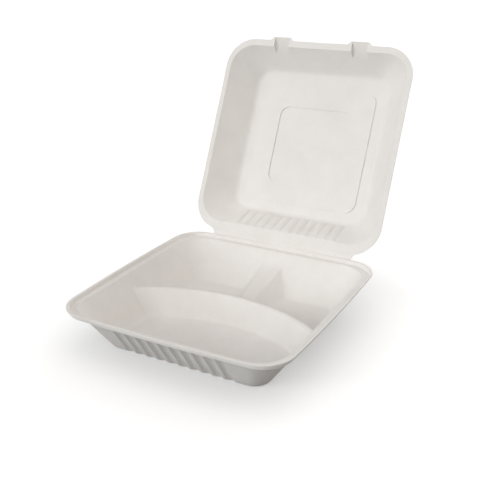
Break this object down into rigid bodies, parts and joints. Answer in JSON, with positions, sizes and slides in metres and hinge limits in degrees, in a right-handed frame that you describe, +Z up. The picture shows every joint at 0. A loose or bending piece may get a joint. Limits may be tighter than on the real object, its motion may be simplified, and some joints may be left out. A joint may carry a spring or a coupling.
{
  "type": "pulp meal box",
  "caption": "Moulded pulp takeaway box with a divided tray and a lid that swings on a fold along the rear rim.",
  "frame": {"origin": "centre of the flat foot, on the surface the box stands on", "axes": "+X along the fold, +Y towards the hinge side, +Z up"},
  "size_m": [0.2332, 0.3437, 0.249],
  "materials": {
    "pulp": "matte moulded fibre"
  },
  "bodies": {
    "tray_body": {"tray": "pulp"},
    "lid_body": {"lid": "pulp"}
  },
  "joints": [
    {"name": "lid_fold", "type": "hinge", "parent": "tray_body", "child": "lid_body", "pos_m": [0, 0.11515, 0.044], "axis": [1, 0, 0], "range_deg": [-63.5, 116.5]}
  ]
}
